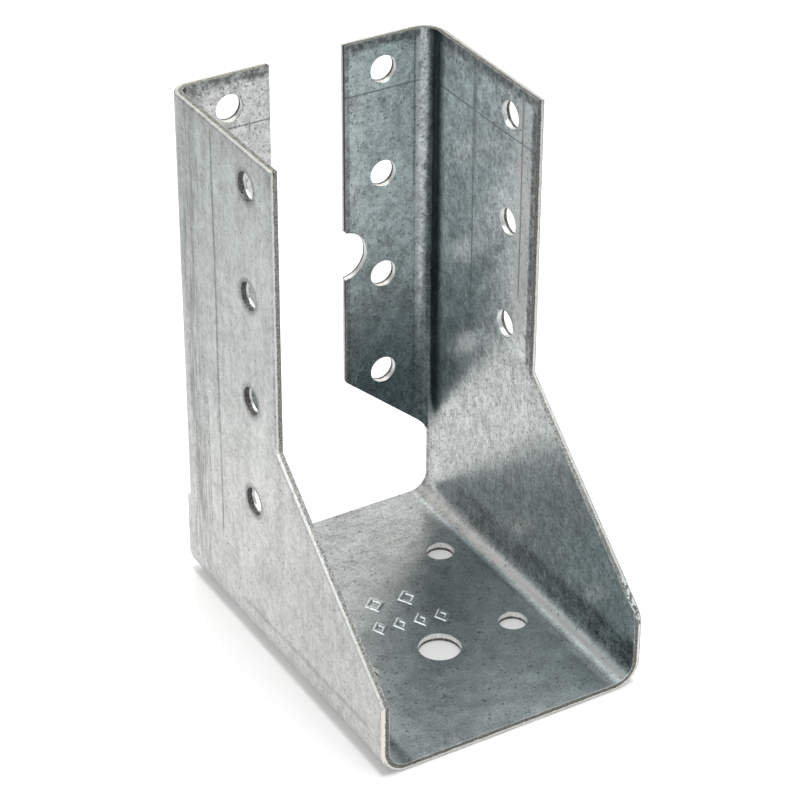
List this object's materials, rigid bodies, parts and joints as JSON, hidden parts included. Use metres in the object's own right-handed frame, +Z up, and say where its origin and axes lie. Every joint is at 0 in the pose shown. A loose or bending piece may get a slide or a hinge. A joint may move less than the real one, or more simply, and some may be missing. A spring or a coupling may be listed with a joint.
{
  "type": "joist hanger",
  "caption": "Folded sheet steel joist hanger with a flat seat, tall cheeks and inward header flanges, punched with nail holes and half round notches.",
  "frame": {"origin": "centre of the footprint, on the underside of the seat", "axes": "+Z up, +Y towards the header that the flanges are nailed to, +X to the right seen from the joist's side"},
  "size_m": [0.051, 0.0694, 0.096],
  "materials": {
    "galvanised_steel": "dull zinc coating"
  },
  "bodies": {
    "root": {"joist_hanger": "galvanised_steel"}
  },
  "joints": []
}
